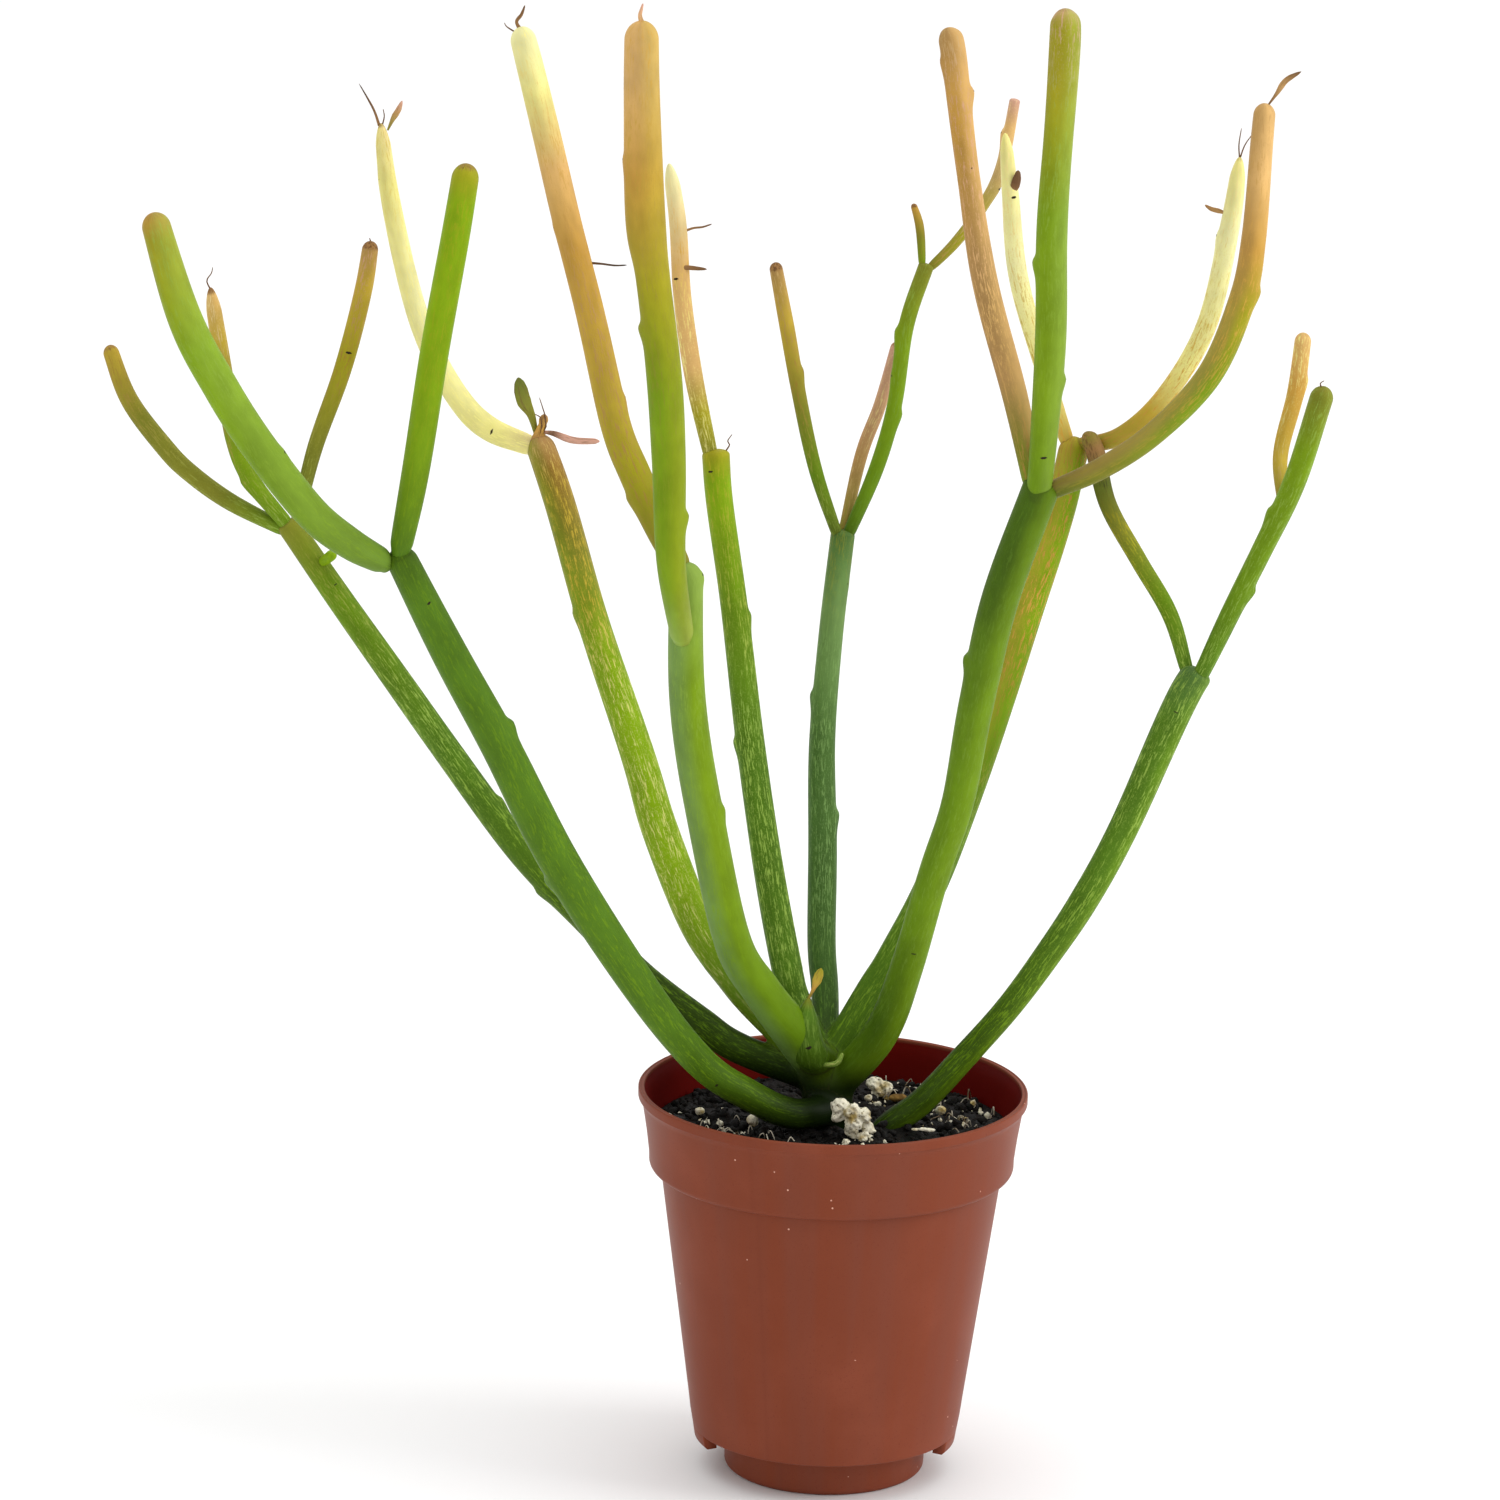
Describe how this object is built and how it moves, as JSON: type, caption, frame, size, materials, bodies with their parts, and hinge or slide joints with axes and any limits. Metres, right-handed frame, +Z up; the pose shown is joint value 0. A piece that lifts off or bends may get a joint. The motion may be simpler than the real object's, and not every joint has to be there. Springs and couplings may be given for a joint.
{
  "type": "potted pencil euphorbia",
  "caption": "Pencil euphorbia: bare, forking green stems with yellow and orange tips in a small round plastic nursery pot with a wide rim band.",
  "frame": {"origin": "centre of the pot's foot, on its underside", "axes": "+Z up the pot, -Y towards the pictured front, +X to the right seen from the front"},
  "size_m": [0.1865, 0.1045, 0.2381],
  "materials": {
    "pot_plastic": "satin",
    "peat": "matte",
    "perlite": "matte",
    "bark": "matte",
    "deep_green": "satin",
    "blue_green": "satin",
    "leaf_green": "satin",
    "yellow_green": "satin",
    "olive": "satin",
    "gold": "satin",
    "pale_yellow": "satin",
    "fire_orange": "satin",
    "copper": "satin",
    "dry_pink": "matte",
    "dry_brown": "matte"
  },
  "bodies": {
    "root": {"bark_chip": "bark", "bract_right_back": "bark", "branch_back_high": "leaf_green", "branch_back_left": "gold", "branch_back_low": "olive", "branch_back_middle": "copper", "branch_far_right_high": "leaf_green", "branch_far_right_low": "olive", "branch_front_high": "fire_orange", "branch_front_low": "fire_orange", "branch_left_back_high": "olive", "branch_left_back_low": "olive", "branch_left_back_middle": "gold", "branch_left_front_high": "yellow_green", "branch_left_front_low": "leaf_green", "branch_left_upright": "pale_yellow", "branch_right_back_high": "pale_yellow", "branch_right_back_low": "pale_yellow", "branch_right_front_high": "leaf_green", "branch_right_front_low": "copper", "branch_right_front_side": "fire_orange", "bristle_back_left": "dry_brown", "bristle_front_high": "dry_pink", "bristle_left_upright": "dry_pink", "crown": "deep_green", "crown_bud": "leaf_green", "leaf_back_left": "dry_brown", "leaf_dry_tuft": "dry_brown", "leaf_front_high_tip": "dry_brown", "leaf_front_low_tip": "dry_pink", "leaf_left_upright_tip": "dry_pink", "leaf_long_pink": "dry_pink", "leaf_paddle": "leaf_green", "leaf_right_back": "dry_brown", "leaf_right_front_tip": "dry_pink", "leaf_young_shoot": "gold", "perlite_back": "perlite", "perlite_crumb": "perlite", "perlite_far_left": "perlite", "perlite_flake": "perlite", "perlite_front": "perlite", "perlite_left": "perlite", "perlite_right": "perlite", "pot": "pot_plastic", "soil": "peat", "stem_back": "blue_green", "stem_back_left": "leaf_green", "stem_bud": "leaf_green", "stem_far_right": "deep_green", "stem_front": "leaf_green", "stem_left_back": "deep_green", "stem_left_front": "deep_green", "stem_left_upright": "yellow_green", "stem_right_back": "yellow_green", "stem_right_front": "leaf_green", "twig_back_left": "olive", "twig_back_right": "copper", "twig_far_right": "fire_orange", "young_shoot": "leaf_green"}
  },
  "joints": []
}
